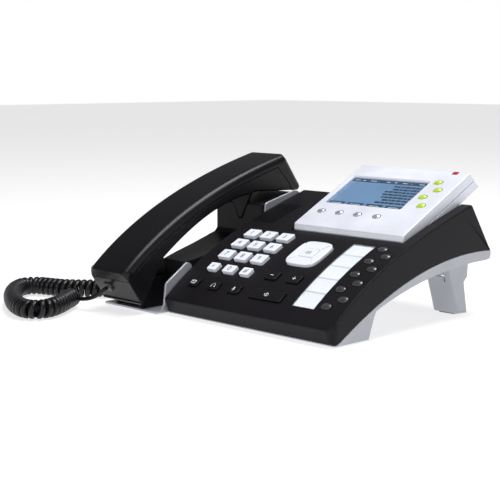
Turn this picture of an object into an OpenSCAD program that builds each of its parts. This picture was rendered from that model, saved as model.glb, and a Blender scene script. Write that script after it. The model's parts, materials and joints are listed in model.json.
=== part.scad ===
// Desk IP phone: sloping console with a tilting display, keys, and a corded handset on its left.
// X runs to the right, Y to the back, Z up. The origin is on the table, under the middle of the phone.

/* [Console] */
// Width of the console
body_w = 174.4; // [170:0.2:178]
// Thickness of the moulded walls
wall = 2.4; // [2:0.1:3]
// Clearance of the silver casing above the table
foot_lift = 0.8; // [0.5:0.1:1.5]

/* [Dial keys] */
// Sideways distance between dial keys
dial_pitch_x = 18; // [16:0.5:19]
// Distance between dial rows, front to back
dial_pitch_y = 14; // [13:0.5:14.5]
// Width of a dial key
dial_key_w = 13; // [10:0.5:14]
// Length of a dial key up the slope
dial_key_l = 10; // [8:0.5:11]
// Height of the white keys above the cover
key_proud = 2.5; // [1.5:0.1:3]
// Travel of a key
key_travel = 1.2; // [0.8:0.1:1.5]

/* [Display] */
// Width of the display housing
disp_w = 110.2; // [108:0.2:110.4]
// Length of the display face up its slope
disp_l = 90.2; // [86:0.2:92]
// Thickness of the display housing
disp_t = 15.8; // [14:0.2:16]
// Tilt of the display face at rest
disp_tilt = 27.3; // [27:0.1:28]

/* [Handset] */
// Width of the handset
hs_w = 47; // [44:0.5:48]
// Outer diameter of the curled cord
coil_d = 15.6; // [14:0.2:15.8]
// Diameter of the straight lead
lead_d = 3.2; // [3:0.1:3.6]

/* [Hidden] */
// ---- console outline, as [y, z] control points of cubic curves seen from the right
body_right = 120;
body_left = body_right - body_w;
arch = [[-75, 14], [-31, 51.8], [20, 69], [80, 87]];
seam = [[-67, 3], [-17, 33.5], [42, 54], [107, 50]];
belly = [[-29, 20], [7, 34], [56, 43.2], [101, 42.8]];
nose_low = [-72.5, 1.6];
nose_high = [-76.8, 12.4];
rear_corner_r = 4;
rear_low = [107, 50];
corner_r = 8;
mic_r = 0.6;

// ---- cradle at the left of the console
fin_t = 2;
fin_x = body_left - 0.8 - fin_t;
tray_left = -120;
tray_front = -84;
tray_t = 2;
deck_left_front = -83;
deck_left_rear = -113;
deck_front = -53;
block_front = 33;
seat = [[block_front, 77.5], [82, 84.4]];
deck_gap = 0.3;

// ---- display frame: its lower front edge, its hinge and the recess that it folds into
disp_x = body_right - 10.2 - disp_w;
disp_front = [12.2, 68.8];
hinge = [19, 61.5];
hinge_r = 2;
recess_front = 10.4;
recess_low = 51.2;
recess_slope = 18.3;
recess_gap = 1;
disp_split = 7.9;
disp_wall = 2;
window = [5.2, 33.5, 77.3, 40.2];
soft_u = [12.5, 31.4, 50, 69];
soft_v = 20.4;
line_uv = [[91.2, 73.3], [97.7, 62.9], [91.2, 51.8], [97.7, 40.3]];
led_uv = [97.5, 88];

// ---- keys on the console
key_gap = 0.4;
key_depth = 4.2;
low_proud = 1.5;
dial_x = -11.8;
dial_y = -3.6;
nav_c = [44.9, -17.9];
nav_size = 31;
menu_w = 14;
menu_l = 10;
func_y = -61;
func_x = [-36, -13.5, 8.8];
func_w = [10.7, 11, 12.4];
func_l = 7.6;
speaker_x = 43.2;
speaker_w = 33;
speaker_l = 9;
volume_x = [32.6, 55.2];
volume_y = -44.5;
volume_w = 12;
volume_l = 8.4;
speed_w = 8.5;
speed_l = 5.6;
speed_x = [101.6, 110.8];
speed_y = [-61.1, -53.9];
speed_pitch = 15;
label_x = [71.7, 92.7];
label_y = [-64.5, 1.7];
grille_x = [-50, -30];
grille_y = 18;
grille_count = 8;

// ---- small parts
foot_r = 5;
foot_at = [[-42, -50], [108, -50], [-112, -76], [-112, -60]];
pad_w = 14;
pad_l = 7;
leg_w = 26;
leg_x = [-42.4, 82];
screw_r = 1.4;
screw_head_r = 2.7;
screw_at = [[-30, -58, foot_lift], [95, -58, foot_lift], [0, 60, 42.4], [66, 60, 42.4]];
hook_x = -83.2;
hook_top_w = 26;
hook_tip_w = 2.6;
hook_z = [65, 86.4];
hook_gap = 0.4;
jack_at = [70, 62];
// left side, width and top of the sockets' bodies, and their underside just above the casing
network_body = [30.3, 30, 66.5];
power_body = [78.3, 9, 64.9];
socket_floor = 50.8;
rib_x = [-102, -74];
port_x = [32.8, 46.2];
soft_w = 7;
soft_l = 5;
line_w = 7.2;
line_l = 5.4;
led_w = 5.6;
led_l = 4.2;
plug_w = 7.6;
plug_h = 6.6;

// ---- handset outline, as [y, z] points seen from the right
hs_x = -111;
hs_back = [[-106, 35.5], [-62, 76], [5, 102], [68, 117.5]];
hs_grip = [[-68, 42], [-42, 62], [-12, 80], [22, 85.5]];
hs_wall = 2.2;
plug_at = [-95, -98.5, 20];
plug_tilt = 25.7;
board_tilt = 29.1;

// ---- curly cord and its straight lead, by hand, on the table
lead_route = [[-95, -100.7, 18.9], [-95.1, -103.5, 17.6], [-97.5, -107, 14.2], [-103, -109.5, 11],
              [-111, -110.5, 9], [-119, -110.5, 8.1], [-127, -110.5, 8]];
coil_route = [[-130, -108, 8], [-121, -121, 8], [-111, -135, 8], [-104, -149, 8],
              [-105, -160, 8], [-115, -164.2, 8], [-132, -160, 8], [-152, -150, 8],
              [-174, -136, 8], [-191.2, -121, 8], [-199.2, -108, 8], [-194.5, -98, 8],
              [-184, -94, 8], [-170, -89, 8], [-158, -80, 8], [-149, -70, 8],
              [-142, -56, 8], [-137, -41, 8], [-136, -22, 8], [-136, 2, 8], [-136, 24, 8],
              [-136, 36, 8.2], [-135.5, 47, 12], [-133, 57, 21], [-129.5, 63.5, 33],
              [-125.5, 66.5, 45], [-121, 67.5, 55], [-113, 70, 62]];

dial_names = ["key_1", "key_2", "key_3", "key_4", "key_5", "key_6", "key_7", "key_8", "key_9",
              "key_star", "key_0", "key_hash"];
func_names = ["message_key", "headset_key", "mute_key"];
volume_names = ["volume_down_key", "volume_up_key"];

// ---- curve functions
function bez(c, t) = pow(1 - t, 3) * c[0] + 3 * t * pow(1 - t, 2) * c[1]
                   + 3 * t * t * (1 - t) * c[2] + pow(t, 3) * c[3];
function bez_d(c, t) = pow(1 - t, 2) * (c[1] - c[0]) + 2 * t * (1 - t) * (c[2] - c[1])
                     + t * t * (c[3] - c[2]);
function left_of(d) = [-d[1], d[0]] / norm(d);
function curve(c, d = 0, n = 20) = [for (i = [0:n]) bez(c, i / n) + d * left_of(bez_d(c, i / n))];
function reversed(p) = [for (i = [len(p) - 1:-1:0]) p[i]];
function arc(c, r, a0, a1, n = 6) = [for (i = [0:n]) let (a = a0 + (a1 - a0) * i / n)
                                     c + r * [cos(a), sin(a)]];
// parameter of the arch at a distance y from front to back, by halving
function arch_t(y, lo = 0, hi = 1, n = 24) = n == 0 ? (lo + hi) / 2
    : let (m = (lo + hi) / 2) bez(arch, m)[0] < y ? arch_t(y, m, hi, n - 1) : arch_t(y, lo, m, n - 1);
function arch_slope(y) = let (d = bez_d(arch, arch_t(y))) atan2(d[1], d[0]);
function arch_z(y) = bez(arch, arch_t(y))[1];
function below(c, y, n = 24, lo = 0, hi = 1) = n == 0 ? bez(c, (lo + hi) / 2)[1]
    : let (m = (lo + hi) / 2) bez(c, m)[0] < y ? below(c, y, n - 1, m, hi) : below(c, y, n - 1, lo, m);

// ---- outlines seen from the right, as [y, z] points
console_outline = concat([nose_low, nose_high], curve(arch),
                         arc([79.4, 83.1], rear_corner_r, 80, 34, 4), reversed(curve(seam)));
console_void = concat([[-69.8, -5], [-74, 12.6]], [for (p = curve(arch, -wall)) if (p[0] > -73) p],
                      [[80.9, 83.2], [103.6, 49.6], [103.6, -5]]);
base_outline = concat([[-72.2, foot_lift], nose_low], curve(seam), [[107.2, 46.5], [106, 43.6]],
                      reversed(curve(belly)), [[-31, 16.6], [-37, foot_lift]]);
base_void = concat([[-69.8, foot_lift + wall], [-39.4, foot_lift + wall], [-33.3, 18]],
                   curve(belly, wall), [[103.6, 46], [103.6, 70], [-69.8, 70]]);
deck_outline = concat([[deck_front, below(seam, deck_front)], [deck_front, 38.3], [-33, 41.3],
                       [-6, 44.5], [22, 48.5], [30, 50.8], [block_front, 54]], seat,
                      [[84.6, 83], rear_low],
                      reversed([for (p = curve(seam)) if (p[0] > deck_front + 1) p]));
deck_void = [[-50.6, -5], [-50.6, 36], [-33, 38.9], [-6, 42.1], [22, 46.1], [29, 48.6],
             [35.4, 53], [35.4, 75.4], [80.6, 81.2], [103.6, 48.4], [103.6, -5]];
wing_plan = [[body_left + 1, deck_front], [deck_left_front, deck_front], [deck_left_rear, 25],
             [deck_left_rear, 108], [body_left + 1, 108]];
deck_plan = [[fin_x - deck_gap, deck_front], [deck_left_front, deck_front], [deck_left_rear, 25],
             [deck_left_rear, 108], [fin_x - deck_gap, 108]];
deck_void_plan = [[fin_x - deck_gap - wall, -50.6], [-81.6, -50.6], [-110.6, 25], [-110.6, 103.6],
                  [fin_x - deck_gap - wall, 103.6]];
tub_slope = tan(recess_slope);
function hs_part(c, d, t0, t1, n = 18) = [for (i = [0:n]) let (t = t0 + (t1 - t0) * i / n)
                                          bez(c, t) + d * left_of(bez_d(c, t))];
hs_outline = concat([[-106, 35.5]], hs_part(hs_back, 0, 0.02, 1),
                    [[70.5, 115.6], [87.2, 92.2], [87.6, 88.6], [85, 86], [80, 86], [60, 88], [36, 87.6]],
                    reversed(curve(hs_grip)), [[-89, 9], [-91.4, 7.6], [-93.4, 9.4], [-107.2, 33.4]]);
hs_void = concat(hs_part(hs_back, -hs_wall, 0.05, 0.98),
                 [[68.5, 114], [84.6, 92], [84.4, 89.4], [80, 88.4], [60, 90.2], [36, 89.8]],
                 reversed(curve(hs_grip, hs_wall)), [[-90, 14], [-91.4, 12.6], [-102.6, 33.6]]);
hs_lower_zone = concat([[-115, 16.3]], hs_part(hs_back, -8, 0, 0.94),
                       [[73, 92], [80, 70], [80, -5], [-115, -5]]);

// ---- shared shapes
module side_prism(outline, x0, x1) {
    translate([x0, 0, 0]) rotate([90, 0, 90]) linear_extrude(x1 - x0) polygon(outline);
}
module plan_prism(outline, z0, z1) {
    translate([0, 0, z0]) linear_extrude(z1 - z0) polygon(outline);
}
module rounded_block(w, l, r, z0, z1) {
    translate([-w / 2 + r, -l / 2, z0]) cube([w - 2 * r, l, z1 - z0]);
    translate([-w / 2, -l / 2 + r, z0]) cube([w, l - 2 * r, z1 - z0]);
    for (sx = [-1, 1]) for (sy = [-1, 1])
        translate([sx * (w / 2 - r), sy * (l / 2 - r), z0]) cylinder(r = r, h = z1 - z0, $fn = 24);
}
// a block with round ends: w long in x, l wide
module pill(w, l, z0, z1) {
    translate([-(w - l) / 2, -l / 2, z0]) cube([w - l, l, z1 - z0]);
    for (s = [-1, 1]) translate([s * (w - l) / 2, 0, z0]) cylinder(d = l, h = z1 - z0, $fn = 32);
}
// a square whose four sides bulge as arcs
module bulged_square(size, z0, z1) {
    bulge_r = size * 1.1;
    off = bulge_r - size / 2;
    intersection() {
        translate([off, 0, z0]) cylinder(r = bulge_r, h = z1 - z0, $fn = 64);
        translate([-off, 0, z0]) cylinder(r = bulge_r, h = z1 - z0, $fn = 64);
        translate([0, off, z0]) cylinder(r = bulge_r, h = z1 - z0, $fn = 64);
        translate([0, -off, z0]) cylinder(r = bulge_r, h = z1 - z0, $fn = 64);
        rounded_block(size, size, 5, z0, z1);
    }
}
// places its children on the cover's surface, with their z axis along its normal
module on_arch(x, y) {
    translate([x, y, arch_z(y)]) rotate([arch_slope(y), 0, 0]) children();
}
// places its children on the display's face: x to the right, y up the face, z out of it
module on_display(u = 0, v = 0) {
    translate([disp_x, disp_front[0], disp_front[1]]) rotate([disp_tilt, 0, 0])
        translate([u, v, 0]) children();
}
// a tube of round section along a route of points, closed at both ends
module tube(route, d, sides = 8, step = 1) {
    n = len(route);
    dir = [for (i = [0:n - 1]) let (a = route[max(i - 1, 0)], b = route[min(i + 1, n - 1)])
           (b - a) / norm(b - a)];
    side = [for (t = dir) let (s = cross(t, [0, 0, 1])) s / norm(s)];
    pts = [for (i = [0:n - 1]) for (k = [0:sides - 1]) let (a = 360 * k / sides)
           route[i] + d / 2 * (cos(a) * side[i] + sin(a) * cross(side[i], dir[i]))];
    walls = [for (i = [0:n - 2]) for (k = [0:sides - 1])
             [i * sides + k, i * sides + (k + 1) % sides,
              (i + 1) * sides + (k + 1) % sides, (i + 1) * sides + k]];
    caps = [[for (k = [sides - 1:-1:0]) k], [for (k = [0:sides - 1]) (n - 1) * sides + k]];
    polyhedron(points = pts, faces = concat(walls, caps));
}
// a smooth curve through hand-chosen points, with n steps between each two
function smooth(p, n) = concat([for (i = [0:len(p) - 2]) for (k = [0:n - 1])
    let (a = p[max(i - 1, 0)], b = p[i], c = p[i + 1], d = p[min(i + 2, len(p) - 1)], t = k / n)
    0.5 * (2 * b + t * (c - a) + t * t * (2 * a - 5 * b + 4 * c - d)
           + t * t * t * (3 * b - a - 3 * c + d))], [p[len(p) - 1]]);

// ---- the console
module dial_shape(row, col, grow, z0, z1) {
    w = row < 3 ? dial_key_w : col == 1 ? 11.6 : 9.8;
    l = row < 3 ? dial_key_l : 8;
    rounded_block(w + 2 * grow, l + 2 * grow, 1 + grow, z0, z1);
}
module dial_place(row, col) {
    on_arch(dial_x + dial_pitch_x * (col - 1), dial_y - dial_pitch_y * row) children();
}
module speed_place(i) {
    col = i < 5 ? 0 : 1;
    on_arch(speed_x[col], speed_y[col] + speed_pitch * (i - 5 * col)) children();
}
module key_holes() {
    z0 = -9;
    z1 = 9;
    for (row = [0:3]) for (col = [0:2]) dial_place(row, col) dial_shape(row, col, key_gap, z0, z1);
    on_arch(nav_c[0], nav_c[1]) bulged_square(nav_size + 2 * key_gap, z0, z1);
    for (i = [0:2]) on_arch(func_x[i], func_y)
        rounded_block(func_w[i] + 2 * key_gap, func_l + 2 * key_gap, 1, z0, z1);
    on_arch(speaker_x, func_y) rounded_block(speaker_w + 2 * key_gap, speaker_l + 2 * key_gap, 1, z0, z1);
    for (x = volume_x) on_arch(x, volume_y)
        rounded_block(volume_w + 2 * key_gap, volume_l + 2 * key_gap, 1, z0, z1);
    for (i = [0:8]) speed_place(i) pill(speed_w + 2 * key_gap, speed_l + 2 * key_gap, z0, z1);
}
module console_plan(z0, z1) {
    fr = corner_r;
    plan_prism(concat([[body_left, 109], [body_left, -79 + 3], [body_left + 3, -79]],
                      arc([body_right - fr, -77 + fr], fr, -90, 0, 8), [[body_right, 109]]), z0, z1);
}
module label_floor() {
    y0 = label_y[0];
    y1 = label_y[1];
    pts = [for (i = [0:10]) y0 + (y1 - y0) * i / 10];
    side_prism(concat([for (y = pts) [y, arch_z(y) - 1.2]], [[y1, 90], [y0, 90]]), label_x[0], label_x[1]);
}
module display_recess(grow, low, top) {
    x0 = disp_x - recess_gap - grow;
    x1 = disp_x + disp_w + recess_gap + grow;
    y0 = recess_front - grow;
    side_prism([[y0, top], [y0, low], [125, low + tub_slope * (125 - y0)], [125, top]], x0, min(x1, 117.8));
}
module top_cover() color([0.07, 0.07, 0.08]) {
    difference() {
        union() {
            difference() {
                intersection() {
                    side_prism(console_outline, body_left, body_right);
                    console_plan(-5, 100);
                }
                side_prism(console_void, body_left + wall, body_right - wall);
            }
            intersection() {
                side_prism(console_outline, body_left, body_right - wall / 2);
                display_recess(wall, recess_low - wall, 99);
            }
        }
        display_recess(0, recess_low, 120);
        key_holes();
        label_floor();
        for (i = [0:grille_count - 1])
            translate([grille_x[0] + i * 3 - 0.6, grille_y - 2, 62]) cube([1.2, 34, 30]);
        translate([disp_x - 6, hinge[0], hinge[1]]) rotate([0, 90, 0])
            cylinder(r = hinge_r + 0.05, h = disp_w + 13, $fn = 32);
        translate([78.4, -80, 5.2]) rotate([-90, 0, 0]) cylinder(r = mic_r, h = 14, $fn = 16);
        for (s = [network_body, power_body])
            translate([s[0] - 0.3, 83, 40]) cube([s[1] + 0.6, 40, s[2] + 0.3 - 40]);
    }
}
module base_shell() color([0.74, 0.75, 0.78]) {
    difference() {
        union() {
            intersection() {
                side_prism(base_outline, body_left, body_right);
                console_plan(-5, 100);
            }
            intersection() {
                side_prism(base_outline, deck_left_rear - 1, body_left + 1);
                plan_prism(wing_plan, -5, 100);
            }
        }
        side_prism(base_void, body_left + wall, body_right - wall);
        intersection() {
            side_prism(base_void, deck_left_rear - 1, body_left + wall + 0.1);
            plan_prism(deck_void_plan, -5, 100);
        }
        foot_places() cylinder(r = foot_r, h = foot_lift + 0.8, $fn = 32);
        screw_places() {
            translate([0, 0, -3]) cylinder(r = screw_head_r + 0.3, h = 3 + 1.4, $fn = 24);
            cylinder(r = screw_r + 0.1, h = 12, $fn = 24);
        }
    }
}
// the wall in front of the deck that the mouth end hangs before, and the two ribs that it rests on
module cup_wall() {
    bottom = foot_lift + tray_t + 0.3;
    top = 38.3;
    side_prism([[deck_front, bottom], [deck_front, top], [deck_front + wall, top],
                [deck_front + wall, bottom]], deck_left_rear, deck_left_front - 1.2);
    side_prism([[deck_front, 16], [deck_front, top], [deck_front + wall, top],
                [deck_front + wall, 16]], deck_left_front - 1.3, deck_left_front + 3);
    for (x = rib_x) side_prism([[-86.4, bottom], [-86.2, 11], [-76, 27], [-73, 27],
                                [deck_front + wall, 27], [deck_front + wall, 17],
                                [deck_front - 1, 15], [-60, bottom]], x, x + 2);
}
module foot_places() {
    for (p = foot_at) translate([p[0], p[1], 0]) children();
}
module screw_places() {
    for (p = screw_at) translate([p[0], p[1], p[2]]) children();
}
module cradle_deck() color([0.08, 0.08, 0.09]) {
    difference() {
        union() {
            intersection() {
                side_prism(deck_outline, -114, fin_x - deck_gap);
                plan_prism(deck_plan, -5, 100);
            }
            cup_wall();
        }
        intersection() {
            side_prism(deck_void, -114, fin_x);
            plan_prism(deck_void_plan, -5, 100);
        }
        translate([0, block_front - 1, 0]) rotate([-90, 0, 0])
            linear_extrude(6) polygon(hook_outline(hook_gap, 1));
        translate([-118, jack_at[0] - 4, jack_at[1] - 4]) cube([9, 8, 8]);
    }
}
// the hook's tongue as [x, -z] points, wide at its top and narrow at its tip
function hook_outline(grow, extra) = [[hook_x - hook_top_w / 2 - grow, -hook_z[1] - extra],
    [hook_x + hook_top_w / 2 + grow, -hook_z[1] - extra],
    [hook_x + hook_tip_w / 2 + grow, -hook_z[0] + grow],
    [hook_x - hook_tip_w / 2 - grow, -hook_z[0] + grow]];
module hook_switch() color([0.05, 0.05, 0.06]) {
    translate([0, block_front - 0.5, 0]) rotate([-90, 0, 0])
        linear_extrude(2.6) polygon(hook_outline(0, 0));
}
module cradle_tray() color([0.78, 0.79, 0.82]) {
    side_prism(concat([[-81.3, foot_lift], [-75.9, 6.3], [-73.8, 23.8], [-57.9, 34.2], [-51.8, 38.5],
                       [-47.6, 36.8], [-46, 32.7], [20, 45], [34, 52], [35.2, 78], [37.6, 79.2],
                       [70.5, 87.5], [75.1, 86.2], [77, 84], [79, 80]],
                      reversed([for (p = curve(seam, 0.3)) if (p[0] < 78) p]), [[-67.5, foot_lift]]),
               fin_x, fin_x + fin_t);
    difference() {
        union() {
            translate([tray_left, tray_front, foot_lift])
                cube([fin_x + fin_t - tray_left, deck_front - 0.3 - tray_front, tray_t]);
        }
        foot_places() cylinder(r = foot_r, h = foot_lift + 0.8, $fn = 32);
    }
}
module label_card() color([0.9, 0.93, 0.98]) {
    label_strip(-1.2, -0.8);
}
module label_window() color([0.85, 0.9, 0.95, 0.5]) {
    label_strip(-0.8, 0.1);
}
// a strip that follows the arch between two heights above it
module label_strip(low, high) {
    pts = [for (i = [0:10]) label_y[0] + 0.2 + (label_y[1] - label_y[0] - 0.4) * i / 10];
    side_prism(concat([for (y = pts) [y, arch_z(y) + low]],
                      reversed([for (y = pts) [y, arch_z(y) + high]])), label_x[0] + 0.2, label_x[1] - 0.2);
}
module rear_stand() color([0.72, 0.73, 0.76]) {
    difference() {
        union() {
            for (x = leg_x) side_prism([[70, 41.6], [84.6, foot_lift], [94.5, foot_lift], [89.8, 25.4],
                                        [94, 29.5], [94.9, 42.6]], x, x + leg_w);
            translate([leg_x[0], 74, 40]) cube([leg_x[1] + leg_w - leg_x[0], 16, 1.6]);
        }
        for (x = leg_x) side_prism([[74.4, 37], [86.9, foot_lift + 2], [110, foot_lift + 2], [110, 37]],
                                   x + 2.2, x + leg_w - 2.2);
        for (x = leg_x) translate([x + leg_w / 2 - pad_w / 2, 85.4, -1])
            cube([pad_w, pad_l, 1 + foot_lift + 0.8]);
    }
}
module rubber_feet() color([0.1, 0.1, 0.1]) {
    foot_places() cylinder(r = foot_r, h = foot_lift + 0.8, $fn = 32);
    for (x = leg_x) translate([x + leg_w / 2 - pad_w / 2, 85.4, 0]) cube([pad_w, pad_l, foot_lift + 0.8]);
}
module housing_screws() color([0.6, 0.6, 0.62]) {
    screw_places() {
        cylinder(r = screw_head_r, h = 1.4, $fn = 24);
        cylinder(r = screw_r, h = 8, $fn = 24);
    }
}
module main_board() color([0.1, 0.35, 0.2]) {
    translate([-48, -61, 16.5]) rotate([board_tilt, 0, 0]) {
        cube([158, 74, 1.6]);
        translate([20, 20, -1.4]) cube([14, 14, 1.4]);
        translate([60, 40, -1.2]) cube([20, 8, 1.2]);
        translate([110, 15, -4]) cube([12, 10, 4]);
    }
}
module loudspeaker() color([0.15, 0.15, 0.16]) {
    translate([-28, 33, 69.2]) rotate([arch_slope(33), 0, 0]) {
        translate([0, 0, -4]) cylinder(r = 17, h = 4, $fn = 48);
        translate([0, 0, -9]) cylinder(r = 9, h = 5, $fn = 32);
    }
}
module network_jack() color([0.2, 0.2, 0.22]) {
    difference() {
        translate([network_body[0], 84, socket_floor])
            cube([network_body[1], 16, network_body[2] - socket_floor]);
        for (x = port_x) translate([x, 88, 55]) cube([11.7, 20, 8]);
    }
}
module power_jack() color([0.06, 0.06, 0.06]) {
    difference() {
        translate([power_body[0], 88, socket_floor])
            cube([power_body[1], 12, power_body[2] - socket_floor]);
        translate([82.8, 91, 59.4]) rotate([-90, 0, 0]) cylinder(r = 2.85, h = 20, $fn = 32);
    }
}

// ---- the display
module display_bezel() color([0.86, 0.87, 0.92]) on_display() {
    difference() {
        side_prism([[0, 0], [disp_l, 0], [disp_l + 2.9, -disp_split], [-2.7, -disp_split], [-2.7, -3.5]],
                   0, disp_w);
        side_prism([[0.8, -disp_wall], [disp_l - 1.6, -disp_wall], [disp_l + 0.9, -disp_split - 1],
                    [-0.7, -disp_split - 1], [-0.7, -4]], disp_wall, disp_w - disp_wall);
        translate([window[0], window[1], -5]) cube([window[2], window[3], 10]);
        for (u = soft_u) translate([u, soft_v, 0]) pill(soft_w + 2 * key_gap, soft_l + 2 * key_gap, -5, 5);
        for (p = line_uv) translate([p[0], p[1], 0])
            pill(line_w + 2 * key_gap, line_l + 2 * key_gap, -5, 5);
        translate([led_uv[0] - led_w / 2, led_uv[1] - led_l / 2, -5]) cube([led_w, led_l, 10]);
    }
}
module display_back() color([0.8, 0.81, 0.85]) {
    on_display() difference() {
        side_prism([[-2.7, -disp_split], [disp_l + 2.9, -disp_split], [disp_l + 5.8, -disp_t],
                    [0.5, -disp_t], [-2.6, -11]], 0, disp_w);
        side_prism([[-0.7, -disp_split + 1], [disp_l + 0.9, -disp_split + 1],
                    [disp_l + 2.9, disp_wall - disp_t],
                    [5.5, disp_wall - disp_t], [5.5, -11]], disp_wall, disp_w - disp_wall);
    }
    for (x = [disp_x - 3, disp_x + disp_w]) translate([x, hinge[0], hinge[1]]) rotate([0, 90, 0])
        cylinder(r = hinge_r, h = 3, $fn = 32);
}
module lcd_panel() color([0.4, 0.52, 0.66]) on_display() {
    translate([window[0] - 2, window[1] - 2, -disp_wall - 2.6]) cube([window[2] + 4, window[3] + 4, 2.6]);
}
module led_lens() color([0.8, 0.1, 0.1]) on_display() {
    translate([led_uv[0] - led_w / 2, led_uv[1] - led_l / 2, -3]) cube([led_w, led_l, 3.2]);
}
module soft_key(i) color([0.7, 0.71, 0.75]) on_display(soft_u[i], soft_v) {
    pill(soft_w, soft_l, -3.6, 1.3);
}
module line_key(i) color([0.65, 0.78, 0.15]) on_display(line_uv[i][0], line_uv[i][1]) {
    pill(line_w, line_l, -3.6, 1.3);
}

// ---- keys on the console
module dial_key(row, col) color([0.88, 0.9, 0.95]) dial_place(row, col) {
    dial_shape(row, col, 0, -key_depth, key_proud);
}
module navigation_ring() color([0.88, 0.9, 0.95]) on_arch(nav_c[0], nav_c[1]) {
    difference() {
        bulged_square(nav_size, -key_depth, 2);
        rounded_block(menu_w + 2 * key_gap, menu_l + 2 * key_gap, 1, -9, 9);
    }
}
module menu_key() color([0.88, 0.9, 0.95]) on_arch(nav_c[0], nav_c[1]) {
    rounded_block(menu_w, menu_l, 1, -key_depth, 2.2);
}
module func_key(i) color([0.09, 0.09, 0.1]) on_arch(func_x[i], func_y) {
    rounded_block(func_w[i], func_l, 0.8, -key_depth, low_proud);
}
module speaker_key() color([0.09, 0.09, 0.1]) on_arch(speaker_x, func_y) {
    rounded_block(speaker_w, speaker_l, 0.8, -key_depth, low_proud);
}
module volume_key(i) color([0.09, 0.09, 0.1]) on_arch(volume_x[i], volume_y) {
    rounded_block(volume_w, volume_l, 0.8, -key_depth, low_proud);
}
module speed_key(i) color([0.16, 0.16, 0.17]) speed_place(i) {
    pill(speed_w, speed_l, -key_depth, low_proud);
}

// ---- the handset and its cord
module handset_outer_shell() color([0.06, 0.06, 0.07]) {
    difference() {
        side_prism(hs_outline, hs_x, hs_x + hs_w);
        side_prism(hs_void, hs_x + hs_wall, hs_x + hs_w - hs_wall);
        side_prism(hs_lower_zone, hs_x - 1, hs_x + hs_w + 1);
    }
}
module handset_inner_shell() color([0.09, 0.09, 0.1]) {
    difference() {
        intersection() {
            side_prism(hs_outline, hs_x, hs_x + hs_w);
            side_prism(hs_lower_zone, hs_x - 1, hs_x + hs_w + 1);
        }
        side_prism(hs_void, hs_x + hs_wall, hs_x + hs_w - hs_wall);
        at_plug() translate([-plug_w / 2 - 0.2, -4, -plug_h / 2 - 0.2])
            cube([plug_w + 0.4, 14, plug_h + 0.4]);
    }
}
module at_plug() {
    translate(plug_at) rotate([plug_tilt, 0, 0]) children();
}
module handset_plug() color([0.75, 0.75, 0.72]) at_plug() {
    translate([-plug_w / 2, -2, -plug_h / 2]) cube([plug_w, 11, plug_h]);
}
module cord_lead() color([0.06, 0.06, 0.07]) tube(smooth(lead_route, 2), lead_d);
module cord_coil() color([0.06, 0.06, 0.07]) tube(smooth(coil_route, 2), coil_d, 12);

base_shell();
top_cover();
cradle_deck();
cradle_tray();
hook_switch();
label_card();
label_window();
rear_stand();
rubber_feet();
housing_screws();
main_board();
loudspeaker();
network_jack();
power_jack();
display_bezel();
display_back();
lcd_panel();
led_lens();
handset_outer_shell();
handset_inner_shell();
handset_plug();
cord_lead();
cord_coil();
for (row = [0:3]) for (col = [0:2])
    dial_key(row, col);
navigation_ring();
menu_key();
for (i = [0:2]) func_key(i);
speaker_key();
for (i = [0:1]) volume_key(i);
for (i = [0:8]) speed_key(i);
for (i = [0:3]) soft_key(i);
for (i = [0:3]) line_key(i);
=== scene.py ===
"""Looks of the desk IP phone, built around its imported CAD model.

Shapes are given in millimetres in the frame of the part: x to the right, y to the back, z up.
Side outlines are [y, z] points seen from the right, as in the part's source.
"""

import json
import math

import bmesh
import bpy
import numpy as np
from mathutils import Matrix, Vector


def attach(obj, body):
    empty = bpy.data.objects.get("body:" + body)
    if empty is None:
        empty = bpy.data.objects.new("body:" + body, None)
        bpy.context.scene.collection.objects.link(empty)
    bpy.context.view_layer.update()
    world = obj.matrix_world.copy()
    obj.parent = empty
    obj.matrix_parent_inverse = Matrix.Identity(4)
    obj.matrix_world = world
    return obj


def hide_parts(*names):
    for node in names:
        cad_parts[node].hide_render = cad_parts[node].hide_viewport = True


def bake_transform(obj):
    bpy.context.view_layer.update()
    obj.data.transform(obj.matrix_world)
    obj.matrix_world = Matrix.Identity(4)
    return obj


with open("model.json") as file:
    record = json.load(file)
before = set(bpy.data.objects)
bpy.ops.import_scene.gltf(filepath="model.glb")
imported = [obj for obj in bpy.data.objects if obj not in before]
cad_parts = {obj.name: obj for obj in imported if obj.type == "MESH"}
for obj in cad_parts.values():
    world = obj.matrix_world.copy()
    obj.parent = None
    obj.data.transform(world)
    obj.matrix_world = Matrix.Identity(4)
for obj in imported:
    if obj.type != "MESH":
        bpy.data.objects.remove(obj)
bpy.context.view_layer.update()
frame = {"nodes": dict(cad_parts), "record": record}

MM = 0.001
BODY_OF = {node: body for body, nodes in frame["record"]["behaviour"]["bodies"].items() for node in nodes}

# ---- sizes shared with the part's source
BODY_LEFT, BODY_RIGHT, WALL = -54.4, 120.0, 2.4
ARCH = np.array([[-75, 14], [-31, 51.8], [20, 69], [80, 87]], float)
SEAM = np.array([[-67, 3], [-17, 33.5], [42, 54], [107, 50]], float)
BELLY = np.array([[-29, 20], [7, 34], [56, 43.2], [101, 42.8]], float)
FOOT_LIFT = 0.8
FIN_X, FIN_T = -57.2, 2.0
DISP_X, DISP_W = -0.4, 110.2
DISP_FRONT, DISP_TILT = (12.2, 68.8), 27.3
HINGE = (19, 61.5)
KEY_GAP = 0.4
HS_X, HS_W = -111.0, 47.0
CRADLE_LEFT = -113.0
CORNER_ROUND, CORNER_FRONT = 8.0, -69.0
BEHIND, ABOVE = 125, 130   # past the cover at its back and at its top


# ---- camera
def make_camera():
    data = bpy.data.cameras.new("camera")
    data.lens, data.sensor_width = 88.34, 36
    camera = bpy.data.objects.new("camera", data)
    camera.location = (0.6658, -0.6814, 0.1838)
    camera.rotation_euler = [math.radians(a) for a in (81.91, 0, 45.91)]
    bpy.context.collection.objects.link(camera)
    bpy.context.scene.camera = camera


make_camera()


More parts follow.
